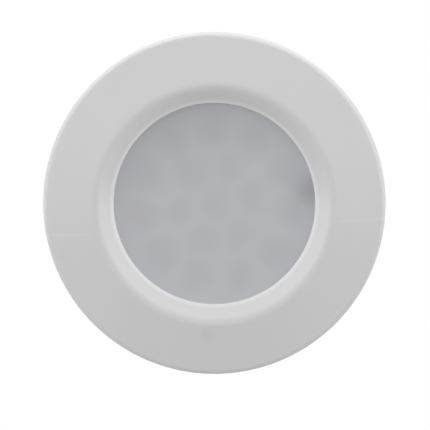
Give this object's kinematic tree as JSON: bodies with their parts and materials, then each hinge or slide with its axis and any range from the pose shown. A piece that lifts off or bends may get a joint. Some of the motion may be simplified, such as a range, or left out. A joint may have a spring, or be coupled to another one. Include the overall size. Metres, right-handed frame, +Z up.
{
  "type": "motion sensor light",
  "caption": "Round recessed light with a hidden motion sensor: white domed flange, frosted window over an LED board, stepped can with folding spring clips, cable grommet and setting dials.",
  "frame": {"origin": "centre of the flange's back face, in the plane of the board that the light is let into", "axes": "-Y out of the face, +Y into the board along the can, +Z up, +X to the right of someone facing it"},
  "size_m": [0.07, 0.0329, 0.07],
  "materials": {
    "bezel_white": "satin white moulding",
    "housing_white": "fine matt white moulding",
    "diffuser_frosted": "frosted translucent polycarbonate",
    "silicone_clear": "milky silicone",
    "reflector_white": "bright matt white",
    "led_board_white": "white solder mask on an aluminium core",
    "led_body": "white LED package",
    "phosphor": "yellow phosphor in silicone",
    "pad_grey": "grey thermal pad",
    "aluminium_plain": "plain sheet",
    "board_green": "green solder mask on glass epoxy",
    "antenna_dark": "dark ceramic",
    "component_black": "black moulding compound",
    "tinned_brass": "tinned",
    "terminal_green": "green nylon",
    "trimmer_blue": "blue nylon",
    "dial_grey": "grey nylon",
    "grommet_black": "black rubber",
    "sleeve_grey": "grey silicone rubber",
    "spring_steel": "bright zinc plated"
  },
  "bodies": {
    "root": {"bezel": "bezel_white", "diffuser": "diffuser_frosted", "housing": "housing_white", "rear_cover": "housing_white", "cable_grommet": "grommet_black", "left_pivot_pin": "spring_steel", "right_pivot_pin": "spring_steel", "left_stop_pin": "spring_steel", "right_stop_pin": "spring_steel", "cover_screws": "spring_steel", "left_clip_spring": "spring_steel", "right_clip_spring": "spring_steel", "diffuser_seal": "silicone_clear", "reflector_cup": "reflector_white", "led_board": "led_board_white", "led_packages": "led_body", "led_phosphor": "phosphor", "led_resistors": "component_black", "thermal_pad": "pad_grey", "heat_spreader": "aluminium_plain", "sensor_board": "board_green", "sensor_antenna": "antenna_dark", "sensor_chip": "component_black", "sensor_header": "component_black", "spacers": "tinned_brass", "driver_board": "board_green", "driver_board_screws": "spring_steel", "board_link_block": "component_black", "board_link_pins": "tinned_brass", "driver_chip": "component_black", "microcontroller": "component_black", "power_transistor": "component_black", "inductor": "antenna_dark", "bulk_capacitor": "aluminium_plain", "rectifier_diodes": "component_black", "driver_passives": "component_black", "terminal_block": "terminal_green", "terminal_screws": "tinned_brass", "trimmer_bodies": "trimmer_blue"},
    "left_clip": {"left_clip_arm": "spring_steel", "left_clip_sleeve": "sleeve_grey"},
    "right_clip": {"right_clip_arm": "spring_steel", "right_clip_sleeve": "sleeve_grey"},
    "time_dial": {"time_dial": "dial_grey"},
    "range_dial": {"range_dial": "dial_grey"}
  },
  "joints": [
    {"name": "left_clip_hinge", "type": "hinge", "parent": "root", "child": "left_clip", "pos_m": [-0.0252, 0.0155, 0], "axis": [0, 0, -1], "range_deg": [0, 144], "stiffness_Nm_per_rad": 0.02, "springref_deg": -34.38, "deforming": ["left_clip_spring"]},
    {"name": "right_clip_hinge", "type": "hinge", "parent": "root", "child": "right_clip", "pos_m": [0.0252, 0.0155, 0], "axis": [0, 0, 1], "range_deg": [0, 144], "stiffness_Nm_per_rad": 0.02, "springref_deg": -34.38, "deforming": ["right_clip_spring"]},
    {"name": "time_dial_turn", "type": "hinge", "parent": "root", "child": "time_dial", "pos_m": [-0.0106, 0.025, 0.0065], "axis": [0, 1, 0], "range_deg": [-135, 135]},
    {"name": "range_dial_turn", "type": "hinge", "parent": "root", "child": "range_dial", "pos_m": [0.0106, 0.025, 0.0065], "axis": [0, 1, 0], "range_deg": [-135, 135]}
  ]
}
